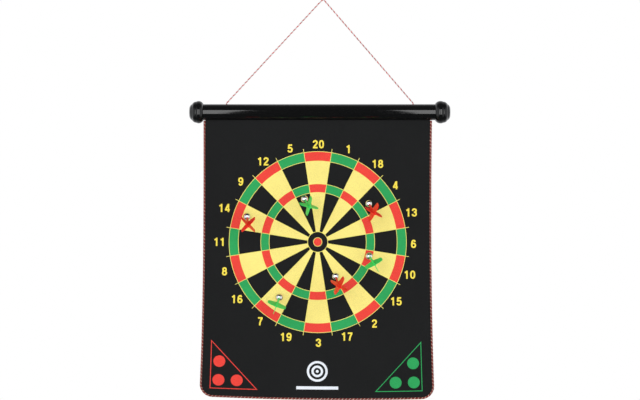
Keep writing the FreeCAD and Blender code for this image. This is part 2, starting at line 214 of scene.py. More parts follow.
class DartboardColours(bpy.types.PropertyGroup):
    yellow: colour("Yellow", (0.900, 0.770, 0.225), "Printed yellow")
    gold: colour("Gold", (0.900, 0.720, 0.085), "Numbers")
    line: colour("Line", (0.880, 0.780, 0.190), "Thin lines between the fields")
    red: colour("Red", (0.800, 0.060, 0.045), "Printed red")
    green: colour("Green", (0.028, 0.350, 0.100), "Printed green")
    white: colour("White", (0.760, 0.800, 0.860), "Printed white")
    cloth: colour("Cloth", (0.0096, 0.0101, 0.0105), "Black flock")
    core: colour("Core", (0.030, 0.028, 0.027), "Magnetic rubber")
    thread_red: colour("Thread red", (0.270, 0.014, 0.009), "Red edge thread")
    thread_cream: colour("Thread cream", (0.800, 0.600, 0.470), "Cream edge thread")
    string_red: colour("String red", (0.780, 0.100, 0.090), "Red strands of the string")
    string_white: colour("String white", (0.820, 0.780, 0.780), "White strands of the string")
    plastic: colour("Plastic", (0.0030, 0.0032, 0.0034), "Tube and end caps")
    dart_red: colour("Dart red", (0.860, 0.016, 0.008), "Red flights")
    dart_green: colour("Dart green", (0.024, 0.680, 0.125), "Green flights")


def sizes():
    return bpy.context.scene.dartboard_sizes


def colours():
    return bpy.context.scene.dartboard_colours


# --- Surfaces ------------------------------------------------------------------------------


def hang(points):
    """Where points of the flat mat come to rest once it hangs, for an array of any shape (..., 3).

    With t from 0 under the tube to 1 at the bottom edge and u from -1 to 1 across the mat: the
    mat widens with t cubed, and on its right a little towards the tube. Its bottom edge bows down
    as a parabola in u, a sine ripple crosses it, and its free end stands forward with t to the
    sixth, a quarter as far in the middle as at the corners.
    """
    s = sizes()
    x, z = points[..., 0], points[..., 2]
    t = np.clip((EDGE_HIGH[2] - z) / (EDGE_HIGH[2] - EDGE_LOW[2]), 0, 1.02)
    u = (x - MAT_X) / MAT_HALF
    wider_both, wider_left, wider_top = 0.0060, 0.0005, 0.0016
    bow, bow_middle, bow_drop = 0.0040, 0.25, 0.0024
    wave, wave_start = 0.21, 0.6
    middle_curl = 0.25
    hung = np.array(points, dtype=float)
    hung[..., 0] += t**3 * (wider_both * u - wider_left * u**2)
    hung[..., 0] += wider_top * (1 - np.clip(t, 0, 1)) ** 4 * np.clip(u, 0, 1) ** 6
    hung[..., 1] += s.ripple * np.sin(2 * np.pi * x / wave + wave_start) * np.sin(np.pi * t)
    hung[..., 1] -= s.curl * t**6 * (middle_curl + (1 - middle_curl) * u**2)
    hung[..., 2] += t**4 * (bow * (u - bow_middle) ** 2 - bow_drop)
    return hung


def unit(vectors):
    """Each vector of an array divided by its length."""
    return vectors / np.linalg.norm(vectors, axis=-1, keepdims=True)


def heading(path):
    """The direction that a path takes at each of its points."""
    return unit(np.gradient(path, axis=0))


def grid_quads(rows, columns, wrap=False):
    """Quads of a grid of rows by columns points; wrap joins the last column to the first.

    Returns each quad's four point numbers and, for each corner, its row and unwrapped column.
    """
    across = columns if wrap else columns - 1
    i, j = np.meshgrid(np.arange(rows - 1), np.arange(across), indexing="ij")
    i, j = i.ravel(), j.ravel()
    row = np.stack([i, i, i + 1, i + 1], 1)
    column = np.stack([j, j + 1, j + 1, j], 1)
    return row * columns + column % columns, np.stack([row, column], 2)


def make_mesh(name, points, quads, others=(), uv=None, indices=None):
    """A mesh from an array of points, an array of quads and a few faces with more sides."""
    mesh = bpy.data.meshes.new(name)
    others = [list(map(int, face)) for face in others]
    mesh.from_pydata(points.reshape(-1, 3).tolist(), [], quads.tolist() + others)
    if uv is not None:
        spare = sum(len(face) for face in others)
        flat = np.concatenate([uv.reshape(-1, 2), np.zeros((spare, 2))])
        mesh.uv_layers.new(name="lay").data.foreach_set("uv", flat.ravel())
    if indices is not None:
        mesh.polygons.foreach_set("material_index", indices)
    mesh.validate()
    return mesh


def turned_out(mesh):
    """The mesh with every face pointing outwards."""
    shape = bmesh.new()
    shape.from_mesh(mesh)
    bmesh.ops.remove_doubles(shape, verts=shape.verts, dist=1e-7)
    bmesh.ops.recalc_face_normals(shape, faces=shape.faces)
    shape.to_mesh(mesh)
    shape.free()
    return mesh


def add_piece(name, mesh, body, materials, smooth=True):
    """An object for a mesh, riding on a body and holding the given materials."""
    piece = bpy.data.objects.new(name, mesh)
    bpy.context.scene.collection.objects.link(piece)
    for material in materials:
        mesh.materials.append(material)
    mesh.polygons.foreach_set("use_smooth", [smooth] * len(mesh.polygons))
    mesh.update()
    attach(piece, body)
    return piece


def slab(front, back, wrap=False, filled=False):
    """Points and faces of a thin closed plate between two grids of points.

    The front and back grids share rows and columns. Walls join their first and last rows and,
    unless the columns wrap round, their first and last columns. A filled plate has its first row
    closed by one face on each side instead of a wall.
    """
    rows, columns = front.shape[:2]
    count = rows * columns
    quads, _ = grid_quads(rows, columns, wrap)
    faces = [quads, quads[:, ::-1] + count]
    number = np.arange(count).reshape(rows, columns)
    rims = [number[-1]] if filled else [number[0][::-1], number[-1]]
    if wrap:
        rims = [np.append(rim, rim[0]) for rim in rims]
    else:
        rims += [number[:, 0], number[::-1, -1]]
    for rim in rims:
        a, b = rim[:-1], rim[1:]
        faces.append(np.stack([b, a, a + count, b + count], 1))
    others = [number[0][::-1], number[0] + count] if filled else []
    points = np.concatenate([front.reshape(-1, 3), back.reshape(-1, 3)])
    return points, np.concatenate(faces), others


def gathered(parts):
    """Several (points, quads, other faces) as one."""
    points, quads, others, start = [], [], [], 0
    for part_points, part_quads, part_others in parts:
        points.append(part_points)
        quads.append(part_quads + start)
        others += [np.array(face) + start for face in part_others]
        start += len(part_points)
    return np.concatenate(points), np.concatenate(quads), others


def printed(flat, lift):
    """The front and back of a flat printed shape, once it hangs.

    The front stands above the cloth by the ink's height plus the lift, and the back is as far
    inside the cloth as the ink is high.
    """
    ink = sizes().ink
    front, back = hang(flat), hang(flat)
    front[..., 1] += CLOTH_LOW[1] - ink - lift
    back[..., 1] += CLOTH_LOW[1] + ink
    return front, back


def ring_slab(centre, inside, outside, start=0.0, end=2 * math.pi, lift=0.0, tall=1.0):
    """A printed ring, sector or spot: angle runs clockwise from the top, radius runs outwards.

    Each point is the centre plus radius times (sine, tall times cosine) of the angle. Points are
    about a degree and a half apart round the ring, and at most six millimetres along the radius.
    """
    whole = end - start > 2 * math.pi - 1e-6
    filled = inside <= 0
    steps = max(2, math.ceil((end - start) / math.radians(1.5)))
    rings = max(2, math.ceil((outside - inside) / 0.006) + 1)
    angle = np.linspace(start, end, steps, endpoint=not whole)
    radius = np.linspace(outside / rings if filled else inside, outside, rings)
    radius, angle = np.meshgrid(radius, angle, indexing="ij")
    flat = np.zeros((*radius.shape, 3))
    flat[..., 0] = centre[0] + radius * np.sin(angle)
    flat[..., 2] = centre[1] + tall * radius * np.cos(angle)
    return slab(*printed(flat, lift), wrap=whole, filled=filled)


def strip_slab(near, far, lift=0.0, steps=24, closed=False):
    """A printed strip between two runs of corners, each an array of (x, z), joined by lines."""
    if closed:
        near, far = (np.concatenate([run, run[:1]]) for run in (near, far))
    share = np.linspace(0, 1, steps, endpoint=False)[:, None]
    edges = []
    for run in (near, far):
        legs = [a + (b - a) * share for a, b in zip(run, run[1:])]
        edges.append(np.concatenate(legs if closed else legs + [run[-1:]]))
    flat = np.zeros((2, len(edges[0]), 3))
    flat[..., 0::2] = np.stack(edges)
    return slab(*printed(flat, lift), wrap=closed)


def smooth_path(points, closed=False, steps=7):
    """A smooth curve through points: cubics whose slopes are half the gap between neighbours.

    Two points give a straight run. A closed path's last point repeats its first and is left out.
    """
    if len(points) == 2:
        return points[0] + (points[1] - points[0]) * np.linspace(0, 1, steps)[:, None]
    if closed:
        points = points[:-1]
        ends = np.concatenate([points[-1:], points, points[:2]])
    else:
        before, after = 2 * points[:1] - points[1:2], 2 * points[-1:] - points[-2:-1]
        ends = np.concatenate([before, points, after])
    a, b, c, d = ends[:-3], ends[1:-2], ends[2:-1], ends[3:]
    t = np.linspace(0, 1, steps, endpoint=False)[:, None, None]
    curve = b + (c - a) * t / 2 + (a - 2.5 * b + 2 * c - d / 2) * t**2
    curve = curve + (1.5 * (b - c) + (d - a) / 2) * t**3
    curve = curve.transpose(1, 0, 2).reshape(-1, points.shape[1])
    return curve if closed else np.concatenate([curve, points[-1:]])


def lathe(profile, centre, axis, segments):
    """A closed solid of revolution: a profile of (distance along the axis, radius) turned round it.

    The profile starts and ends on the axis. Those two ends are closed by a fan, whose points are
    the profile's first and last.
    """
    axis = np.array(axis, dtype=float)
    side = np.cross(axis, [0.0, 0.0, 1.0])
    side = unit(np.cross(axis, [0.0, 1.0, 0.0]) if np.linalg.norm(side) < 0.1 else side)
    other = np.cross(axis, side)
    angle = np.linspace(0, 2 * np.pi, segments, endpoint=False)
    round_it = np.cos(angle)[:, None] * side + np.sin(angle)[:, None] * other
    inner = profile[1:-1]
    rings = centre + inner[:, 0, None, None] * axis + inner[:, 1, None, None] * round_it
    quads, _ = grid_quads(len(inner), segments, wrap=True)
    count = len(inner) * segments
    tips = centre + profile[[0, -1], 0, None] * axis
    points = np.concatenate([rings.reshape(-1, 3), tips])
    turn = np.arange(segments)
    after = (turn + 1) % segments
    last = count - segments
    fans = [(count, b, a) for a, b in zip(turn, after)]
    fans += [(count + 1, last + a, last + b) for a, b in zip(turn, after)]
    return points, quads, fans


def leaned(vector, turn):
    """The vector turned about the axis of the turn, whose length is the sine of its angle."""
    sine = np.linalg.norm(turn)
    if sine < 1e-9:
        return vector
    axis = turn / sine
    cosine = math.sqrt(1 - sine**2)
    return vector * cosine + np.cross(axis, vector) * sine + axis * (axis @ vector) * (1 - cosine)


def arc_points(start, through, end, steps):
    """Points of the circular arc from start to end through a third point, in a plane."""
    a, b, c = (np.array(p, dtype=float) for p in (start, through, end))
    left = 2 * np.array([b - a, c - a])
    right = np.array([b @ b - a @ a, c @ c - a @ a])
    middle = np.linalg.solve(left, right)
    angles = [math.atan2(*(p - middle)[::-1]) for p in (a, b, c)]
    sweep = (angles[2] - angles[0]) % (2 * math.pi)
    if (angles[1] - angles[0]) % (2 * math.pi) > sweep:
        sweep -= 2 * math.pi
    turn = angles[0] + np.linspace(0, 1, steps) * sweep
    return middle + np.linalg.norm(a - middle) * np.stack([np.cos(turn), np.sin(turn)], 1)


def distance(path):
    """How far along a path each of its points is."""
    return np.concatenate([[0], np.cumsum(np.linalg.norm(np.diff(path, axis=0), axis=1))])


def tube_along(path, side, radius, sides):
    """Points, quads and their lay for a round tube along a path.

    Each ring is the path's point plus the radius times the cosine of the angle along the side
    vector squared to the path, plus the sine along the third direction. The lay is the length
    along the tube in millimetres and the share of a turn round it.
    """
    ahead = heading(path)
    across = unit(side - (side * ahead).sum(1, keepdims=True) * ahead)
    third = np.cross(ahead, across)
    angle = np.linspace(0, 2 * np.pi, sides, endpoint=False)[None, :, None]
    out = np.cos(angle) * across[:, None] + np.sin(angle) * third[:, None]
    rings = path[:, None] + radius * out
    quads, place = grid_quads(len(path), sides, wrap=True)
    lay = np.stack([distance(path)[place[..., 0]] * 1000, place[..., 1] / sides], 2)
    ends = [np.arange(sides)[::-1], np.arange(sides) + (len(path) - 1) * sides]
    return rings.reshape(-1, 3), quads[:, ::-1], ends, lay


def strands(runs, radius, sides):
    """Several tubes as one: points, quads, end faces, lay, and how many quads each tube has."""
    made = [tube_along(path, side, radius, sides) for path, side in runs]
    points, quads, others = gathered([part[:3] for part in made])
    return points, quads, others, np.concatenate([part[3] for part in made]), len(made[0][1])


def evenly(path, step):
    """The path as points a step apart, and how far along it each one is."""
    gone = distance(path)
    at = np.linspace(0, gone[-1], max(2, round(gone[-1] / step)))
    return np.stack([np.interp(at, gone, path[:, k]) for k in range(3)], 1), at


def twisted(path, along, aside, lift, pitch, start, half_width, half_depth):
    """A strand wound round a path, and the direction out from the path at each point.

    The strand is the path plus the cosine of its turn along the aside vectors times the half
    width, plus the sine along the lift vectors times the half depth.
    """
    turn = (2 * np.pi * along / pitch + start)[:, None]
    out = half_width * np.cos(turn) * aside + half_depth * np.sin(turn) * lift
    return path + out, unit(out)


def string_strands(path, along, aside):
    """The string's four strands, wound round a path."""
    lift = np.cross(heading(path), aside)
    return [twisted(path, along, aside, lift, sizes().string_pitch, quarter * math.pi / 2,
                    STRAND_OFFSET, STRAND_OFFSET) for quarter in range(4)]


# --- Materials -----------------------------------------------------------------------------


def put(tree, kind, settings=None, **inputs):
    """A new node, with its settings and its inputs; an input may be a value or a socket."""
    node = tree.nodes.new(kind)
    for name, value in (settings or {}).items():
        setattr(node, name, value)
    for name, value in inputs.items():
        key = int(name[1:]) if name[1:].isdigit() else name.replace("_", " ")
        socket = node.inputs[key]
        if isinstance(value, bpy.types.NodeSocket):
            tree.links.new(value, socket)
        else:
            socket.default_value = value
    return node


def math_node(tree, operation, a, b=0.0, c=0.0):
    """The result of a maths operation."""
    return put(tree, "ShaderNodeMath", {"operation": operation}, i0=a, i1=b, i2=c).outputs[0]


def blend_colours(tree, share, a, b, how="MIX"):
    """A mix of two colours."""
    node = put(tree, "ShaderNodeMix", {"data_type": "RGBA", "blend_type": how})
    for number, value in ((0, share), (6, a), (7, b)):
        if isinstance(value, bpy.types.NodeSocket):
            tree.links.new(value, node.inputs[number])
        else:
            node.inputs[number].default_value = value
    return node.outputs[2]


def noise(tree, where, scale, detail=2.0, roughness=0.5):
    """Noise from 0 to 1 at a scale per metre."""
    made = put(tree, "ShaderNodeTexNoise", Vector=where, Scale=scale, Detail=detail,
               Roughness=roughness)
    return made.outputs["Fac"]


def stretched(tree, value, low, high, to_low, to_high):
    """The value moved from one range to another, and held inside it."""
    made = put(tree, "ShaderNodeMapRange", i0=value, i1=low, i2=high, i3=to_low, i4=to_high)
    return made.outputs[0]


def group_tree(name, inputs, outputs):
    """An empty node group with named sockets, and its input and output nodes."""
    tree = bpy.data.node_groups.new(name, "ShaderNodeTree")
    for label, kind, default in inputs:
        socket = tree.interface.new_socket(label, in_out="INPUT", socket_type=kind)
        socket.default_value = default
    for label, kind in outputs:
        tree.interface.new_socket(label, in_out="OUTPUT", socket_type=kind)
    return tree, tree.nodes.new("NodeGroupInput").outputs, tree.nodes.new("NodeGroupOutput").inputs


def pile_group():
    """Flocked cloth: short fibres that lean together in soft patches.

    Slow noise darkens and lightens patches of the colour, fine noise makes single fibres, and
    both give the height.
    """
    tree, given, result = group_tree(
        "fibre_pile",
        [("Colour", "NodeSocketColor", (0.5, 0.5, 0.5, 1)), ("Patches", "NodeSocketFloat", 0.15),
         ("Fibres", "NodeSocketFloat", 0.3)],
        [("Colour", "NodeSocketColor"), ("Height", "NodeSocketFloat"),
         ("Roughness", "NodeSocketFloat")],
    )
    where = put(tree, "ShaderNodeTexCoord").outputs["Object"]
    patches = stretched(tree, noise(tree, where, 14.0, 4.0, 0.6), 0.3, 0.7, -1.0, 1.0)
    fibres = stretched(tree, noise(tree, where, 2600.0, 2.0, 0.7), 0.3, 0.7, -1.0, 1.0)
    tufts = noise(tree, where, 700.0, 3.0, 0.6)
    shade = math_node(tree, "MULTIPLY_ADD", patches, given["Patches"], 1.0)
    single = math_node(tree, "MULTIPLY_ADD", fibres, given["Fibres"], 1.0)
    shade = math_node(tree, "MULTIPLY", shade, single)
    grey = put(tree, "ShaderNodeCombineColor", Red=shade, Green=shade, Blue=shade).outputs[0]
    tree.links.new(blend_colours(tree, 1.0, given["Colour"], grey, "MULTIPLY"), result["Colour"])
    tree.links.new(math_node(tree, "MULTIPLY_ADD", fibres, 0.4, tufts), result["Height"])
    tree.links.new(stretched(tree, tufts, 0.2, 0.8, 0.82, 0.98), result["Roughness"])
    return tree


def handling_group():
    """Handled plastic and metal: faint smears, hairline scratches and settled dust.

    Stretched noise makes scratches, slow noise makes smears, and dust lies on upward faces.
    """
    tree, given, result = group_tree(
        "handling_marks",
        [("Colour", "NodeSocketColor", (0.5, 0.5, 0.5, 1)), ("Roughness", "NodeSocketFloat", 0.3),
         ("Marks", "NodeSocketFloat", 0.2), ("Dust", "NodeSocketFloat", 0.1)],
        [("Colour", "NodeSocketColor"), ("Roughness", "NodeSocketFloat"),
         ("Height", "NodeSocketFloat")],
    )
    where = put(tree, "ShaderNodeTexCoord").outputs["Object"]
    long_way = put(tree, "ShaderNodeMapping", Vector=where, Scale=(0.06, 1.0, 1.0)).outputs[0]
    scratches = stretched(tree, noise(tree, long_way, 1400.0, 3.0, 0.7), 0.60, 0.72, 0.0, 1.0)
    smears = stretched(tree, noise(tree, where, 45.0, 4.0, 0.65), 0.35, 0.75, 0.0, 1.0)
    facing = put(tree, "ShaderNodeNewGeometry").outputs["Normal"]
    up = put(tree, "ShaderNodeSeparateXYZ", Vector=facing).outputs["Z"]
    settled = math_node(tree, "MULTIPLY", stretched(tree, up, 0.2, 1.0, 0.0, 1.0), given["Dust"])
    settled = math_node(tree, "MULTIPLY", settled, noise(tree, where, 900.0, 4.0, 0.7))
    dusty = blend_colours(tree, settled, given["Colour"], (0.32, 0.30, 0.28, 1.0))
    worn = math_node(tree, "MULTIPLY_ADD", smears, 0.5, scratches)
    worn = math_node(tree, "MULTIPLY", worn, given["Marks"])
    rough = math_node(tree, "MULTIPLY_ADD", worn, 0.3, given["Roughness"])
    rough = math_node(tree, "ADD", rough, settled)
    tree.links.new(dusty, result["Colour"])
    tree.links.new(rough, result["Roughness"])
    tree.links.new(math_node(tree, "MULTIPLY", scratches, given["Marks"]), result["Height"])
    return tree


def twist_group():
    """Spun thread: slanting plies from the thread's own lay, with stray fibres between them.

    The height is a sine of the length along the thread times the twist, plus the turn round it.
    Painted shade darkens the grooves between the plies, and soil darkens random patches.
    """
    tree, given, result = group_tree(
        "spun_thread",
        [("Colour", "NodeSocketColor", (0.5, 0.5, 0.5, 1)), ("Plies", "NodeSocketFloat", 2.0),
         ("Twist", "NodeSocketFloat", 1.2), ("Soil", "NodeSocketFloat", 0.25)],
        [("Colour", "NodeSocketColor"), ("Height", "NodeSocketFloat")],
    )
    lay = put(tree, "ShaderNodeUVMap", {"uv_map": "lay"}).outputs[0]
    split = put(tree, "ShaderNodeSeparateXYZ", Vector=lay).outputs
    turn = math_node(tree, "MULTIPLY_ADD", split["X"], given["Twist"], 0.0)
    turn = math_node(tree, "MULTIPLY_ADD", split["Y"], given["Plies"], turn)
    plies = math_node(tree, "SINE", math_node(tree, "MULTIPLY", turn, 2 * math.pi))
    where = put(tree, "ShaderNodeTexCoord").outputs["Object"]
    fuzz = noise(tree, where, 3500.0, 2.0, 0.7)
    soil = stretched(tree, noise(tree, where, 60.0, 3.0, 0.6), 0.4, 0.8, 0.0, 1.0)
    # Painted shade: the colour goes dark in the grooves between the plies, as if in their shadow;
    # soil below is random dirt.
    groove = stretched(tree, plies, -1.0, 0.2, 1.0, 0.0)
    soiled = math_node(tree, "MULTIPLY", soil, given["Soil"])
    shade_and_soil = math_node(tree, "MULTIPLY_ADD", groove, 0.35, soiled)
    shaded = blend_colours(tree, shade_and_soil, given["Colour"], (0.05, 0.035, 0.03, 1.0))
    tree.links.new(shaded, result["Colour"])
    tree.links.new(math_node(tree, "MULTIPLY_ADD", fuzz, 0.5, plies), result["Height"])
    return tree


def shared(name, build):
    """The node group of that name, built once."""
    return bpy.data.node_groups.get(name) or build()


def material_with(name, group_name, build, group_values, bump, **surface):
    """A material whose colour, roughness and relief come from a shared group.

    The bump's distance is in metres. The other values are set on the Principled shader itself.
    """
    known = bpy.data.materials.get(name)
    if known:
        return known
    made = bpy.data.materials.new(name)
    made.use_nodes = True
    tree = made.node_tree
    shader = tree.nodes["Principled BSDF"]
    effect = put(tree, "ShaderNodeGroup", {"node_tree": shared(group_name, build)}, **group_values)
    tree.links.new(effect.outputs["Colour"], shader.inputs["Base Color"])
    if "Roughness" in effect.outputs:
        tree.links.new(effect.outputs["Roughness"], shader.inputs["Roughness"])
    height = effect.outputs["Height"]
    relief = put(tree, "ShaderNodeBump", Height=height, Distance=bump, Strength=1.0)
    tree.links.new(relief.outputs[0], shader.inputs["Normal"])
    for socket, value in surface.items():
        shader.inputs[socket.replace("_", " ")].default_value = value
    made.diffuse_color = group_values["Colour"]
    return made


def flock(name, shade, fibres=0.25):
    """Flocked cloth, dyed or printed."""
    values = {"Colour": shade, "Patches": 0.06, "Fibres": fibres}
    return material_with(name, "fibre_pile", pile_group, values, 0.00012, Sheen_Weight=0.12,
                         Sheen_Roughness=0.45, Specular_IOR_Level=0.15)


def hard(name, shade, roughness, marks, dust, **surface):
    """Handled plastic, rubber or metal."""
    values = {"Colour": shade, "Roughness": roughness, "Marks": marks, "Dust": dust}
    return material_with(name, "handling_marks", handling_group, values, 0.00002, **surface)


def spun(name, shade, twist):
    """Spun thread."""
    values = {"Colour": shade, "Twist": twist}
    return material_with(name, "spun_thread", twist_group, values, 0.0001, Roughness=0.75,
                         Sheen_Weight=0.2, Specular_IOR_Level=0.3)


def string_threads():
    """The string's red and white threads."""
    c = colours()
    return [spun("string_red", c.string_red, 0.9), spun("string_white", c.string_white, 0.9)]


def black_gloss():
    """The tube's and the caps' glossy plastic."""
    return hard("black_gloss_plastic", colours().plastic, 0.045, 0.08, 0.02, IOR=1.46)


def add_print(name, parts, ink, shade):
    """A printed piece of several thin plates, in one ink."""
    mesh = make_mesh(name, *gathered(parts))
    material = flock(f"ink_{ink}", shade)
    add_piece(f"print_{name}", mesh, BOARD, [material], smooth=False)


def refinish(node, material):
    """Put a material in each of a CAD node's slots."""
    for place in frame["nodes"][node].material_slots:
        place.material = material


# --- Operators, one for each piece or group of like pieces -------------------------------------


class DartboardOperator:
    """What every operator shares: it builds its pieces and says that it has finished."""

    bl_options = {"REGISTER", "UNDO"}

    def execute(self, context):
        self.build(context)
        return {"FINISHED"}


class DARTBOARD_OT_stage(DartboardOperator, bpy.types.Operator):
    """Pale floor, white surroundings, two tall softboxes and the camera"""

    bl_idname = "dartboard.stage"
    bl_label = "Stage, lights and camera"

    def build(self, context):
        scene = context.scene
        scene.view_settings.view_transform = "Standard"
        self.floor()
        self.surroundings(scene)
        for side in (-1, 1):
            self.softbox(scene, side)
        self.camera(scene)

    def floor(self):
        reach, height, lines = 4.0, -1.35, 9
        across = np.linspace(-reach, reach, lines)
        x, y = np.meshgrid(across, across)
        points = np.stack([x, y, np.full_like(x, height)], 2)
        quads, _ = grid_quads(lines, lines)
        mesh = make_mesh("floor", points, quads)
        floor = bpy.data.objects.new("floor", mesh)
        bpy.context.scene.collection.objects.link(floor)
        mesh.materials.append(hard("pale_floor", (0.78, 0.77, 0.75, 1.0), 0.6, 0.1, 0.0))
        floor.visible_glossy = False

    def surroundings(self, scene):
        """White where the camera looks; to everything else, dim in front, with pale side walls."""
        world = bpy.data.worlds.new("surroundings")
        scene.world = world
        world.use_nodes = True
        tree = world.node_tree
        tree.nodes.clear()
        where = put(tree, "ShaderNodeTexCoord").outputs["Generated"]
        split = put(tree, "ShaderNodeSeparateXYZ", Vector=where).outputs
        aside = math_node(tree, "ABSOLUTE", split["X"])
        level = math_node(tree, "ABSOLUTE", split["Z"])
        walls = math_node(tree, "MULTIPLY", stretched(tree, aside, 0.25, 0.55, 0.0, 1.0),
                          stretched(tree, level, 0.35, 0.75, 1.0, 0.0))
        behind = stretched(tree, split["Y"], 0.0, 0.7, 0.08, 0.75)
        glow = math_node(tree, "MULTIPLY_ADD", walls, 0.9, behind)
        room = put(tree, "ShaderNodeBackground", Color=(0.97, 0.98, 1.0, 1.0), Strength=glow)
        paper = put(tree, "ShaderNodeBackground", Color=(1.0, 1.0, 1.0, 1.0), Strength=1.0)
        seen = put(tree, "ShaderNodeLightPath").outputs["Is Camera Ray"]
        both = put(tree, "ShaderNodeMixShader", i0=seen, i1=room.outputs[0], i2=paper.outputs[0])
        put(tree, "ShaderNodeOutputWorld", Surface=both.outputs[0])

    def softbox(self, scene, side):
        """A tall box whose inner edge leans in at the top, just beside the camera."""
        light = bpy.data.lights.new(f"softbox_{side}", "AREA")
        light.shape = "RECTANGLE"
        light.size, light.size_y = 1.15, 3.3
        light.energy = 50.0
        holder = bpy.data.objects.new(light.name, light)
        scene.collection.objects.link(holder)
        holder.location = (side * 0.85 - 0.004, -3.3, -0.12)
        holder.rotation_euler = (math.radians(90), math.radians(-side * 1.3), 0)

    def camera(self, scene):
        lens = bpy.data.cameras.new("camera")
        lens.sensor_width, lens.lens = 36.0, 118.2
        lens.clip_start, lens.clip_end = 0.05, 50.0
        view = bpy.data.objects.new("camera", lens)
        scene.collection.objects.link(view)
        view.location = (-0.0047, -3.3, -0.3109)
        view.rotation_euler = (math.radians(90), 0, 0)
        scene.camera = view


class DARTBOARD_OT_string(DartboardOperator, bpy.types.Operator):
    """Tight string over the nail, of two red and two white strands"""

    bl_idname = "dartboard.string"
    bl_label = "Hanging string"

    def build(self, context):
        step, sides = 0.0004, 7
        path, along = evenly(self.smooth_line(context), step)
        wound = string_strands(path, along, np.tile([0.0, 1.0, 0.0], (len(path), 1)))
        points, quads, ends, lay, each = strands(wound, STRAND_RADIUS, sides)
        indices = np.concatenate([np.repeat(STRAND_THREADS, each), np.repeat(STRAND_THREADS, 2)])
        mesh = make_mesh("string", points, quads, ends, lay, indices)
        piece = add_piece("hung_string", mesh, "string", string_threads())
        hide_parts("hanging_string")

    def smooth_line(self, context):
        """Points of the smooth line that has the route's corners as its control points."""
        curve = bpy.data.curves.new("string_line", "CURVE")
        curve.dimensions = "3D"
        spline = curve.splines.new("NURBS")
        spline.points.add(len(STRING_ROUTE) - 1)
        flat = [value for corner in STRING_ROUTE for value in (*corner, 1.0)]
        spline.points.foreach_set("co", flat)
        spline.order_u = 3
        spline.use_endpoint_u = True
        spline.resolution_u = 24
        holder = bpy.data.objects.new("string_line", curve)
        context.scene.collection.objects.link(holder)
        context.view_layer.update()
        line = bpy.data.meshes.new_from_object(holder)
        path = np.empty(len(line.vertices) * 3)
        line.vertices.foreach_get("co", path)
        bpy.data.objects.remove(holder)
        bpy.data.curves.remove(curve)
        bpy.data.meshes.remove(line)
        return path.reshape(-1, 3)


class DARTBOARD_OT_knots(DartboardOperator, bpy.types.Operator):
    """The string's two ends: through their holes and knotted inside the tube"""

    bl_idname = "dartboard.knots"
    bl_label = "String knots"

    def build(self, context):
        for side, x in zip(("left", "right"), KNOT_X):
            mesh = self.knot(x)
            piece = add_piece(f"knot_{side}", mesh, BOARD, string_threads())
            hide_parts(f"string_knot_{side}")

    def knot(self, x):
        """A straight end, a trefoil loop and a tail, all wound from four strands.

        The trefoil is (sin t + 2 sin 2t, cos t - 2 cos 2t, -sin 3t), scaled to the knot's ball.
        """
        radius = (KNOT_HIGH[0] - KNOT_LOW[0]) / 2
        middle = TUBE_Z + 0.8 * TUBE_RADIUS - radius
        top = KNOT_HIGH[2] + 0.0009
        t = np.linspace(0, 2 * np.pi, 90)
        loop = np.stack([np.sin(t) + 2 * np.sin(2 * t), np.cos(t) - 2 * np.cos(2 * t),
                         -np.sin(3 * t)], 1)
        loop *= (radius - STRING_DIAMETER / 3) / 3
        loop += [x, 0.0, middle]
        legs = [np.array([[x, 0.0, top], [x, 0.0, middle]]), loop,
                np.array([[x, 0.0, middle], [x, 0.0, KNOT_LOW[2]]])]
        off_axis, step, sides = [0.31, 0.82, 0.12], 0.0005, 6
        runs, counts = [], []
        for leg in legs:
            path, along = evenly(leg, step)
            runs += string_strands(path, along, unit(np.cross(heading(path), off_axis)))
            counts += [(len(path) - 1) * sides] * len(STRAND_THREADS)
        points, quads, ends, lay, _ = strands(runs, STRAND_RADIUS, sides)
        shades = np.tile(STRAND_THREADS, len(legs))
        indices = np.concatenate([np.repeat(shades, counts), np.repeat(shades, 2)])
        return make_mesh("knot", points, quads, ends, lay, indices)


class DARTBOARD_OT_tube(DartboardOperator, bpy.types.Operator):
    """Glossy black finish on the slotted tube"""

    bl_idname = "dartboard.tube"
    bl_label = "Tube"

    def build(self, context):
        refinish("hanging_tube", black_gloss())


class DARTBOARD_OT_caps(DartboardOperator, bpy.types.Operator):
    """Turned end caps with three rings, rounded in their grooves"""

    bl_idname = "dartboard.caps"
    bl_label = "End caps"

    def build(self, context):
        for side, name in ((-1, "left"), (1, "right")):
            low, high = corners(f"end_cap_{name}")
            start = low[0] if side > 0 else high[0]
            early = 0.0018 if side > 0 else 0.0
            points, quads, fans = lathe(
                self.profile(high[0] - low[0], (high[1] - low[1]) / 2, early),
                np.array([start, 0.0, TUBE_Z]), (side, 0.0, 0.0), 128)
            mesh = turned_out(make_mesh(f"cap_{name}", points, quads, fans))
            piece = add_piece(f"turned_cap_{name}", mesh, BOARD, [black_gloss()])
            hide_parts(f"end_cap_{name}")

    def profile(self, long, radius, early):
        """Distance along the cap and radius: three arcs that meet in rounded grooves, a flat end.

        The first ring takes half of the length, the shoulder most of the rest. The socket that
        holds the tube is left open and its floor closes the profile.
        """
        bore = TUBE_RADIUS * 1.004
        lip = bore + 0.0006
        groove_1, groove_2 = 0.505 * long, 0.806 * long
        foot_1, foot_2, face = radius - 0.0009, radius - 0.0047, radius - 0.0100
        crest_1, crest_2, crest_3 = radius, radius - 0.0013, radius - 0.0063
        ring = arc_points((-early, lip), (0.380 * long, crest_1), (groove_1, foot_1), 26)
        shoulder = arc_points((groove_1, foot_1), (0.610 * long, crest_2), (groove_2, foot_2), 22)
        button = arc_points((groove_2, foot_2), (0.903 * long, crest_3), (long, face), 18)
        socket = 0.417 * long
        inside = [(socket, 0.0), (socket, bore / 2), (socket, bore), (socket / 2, bore),
                  (-early, bore)]
        rim = [(long, face * 0.6), (long, 0.0)]
        outline = np.array([*inside, *ring, *shoulder[1:], *button[1:], *rim])
        soft = outline.copy()
        first = len(inside)
        before, here, after = outline[first:-4], outline[first + 1:-3], outline[first + 2:-2]
        soft[first + 1:-3] = (before + 2 * here + after) / 4
        return soft


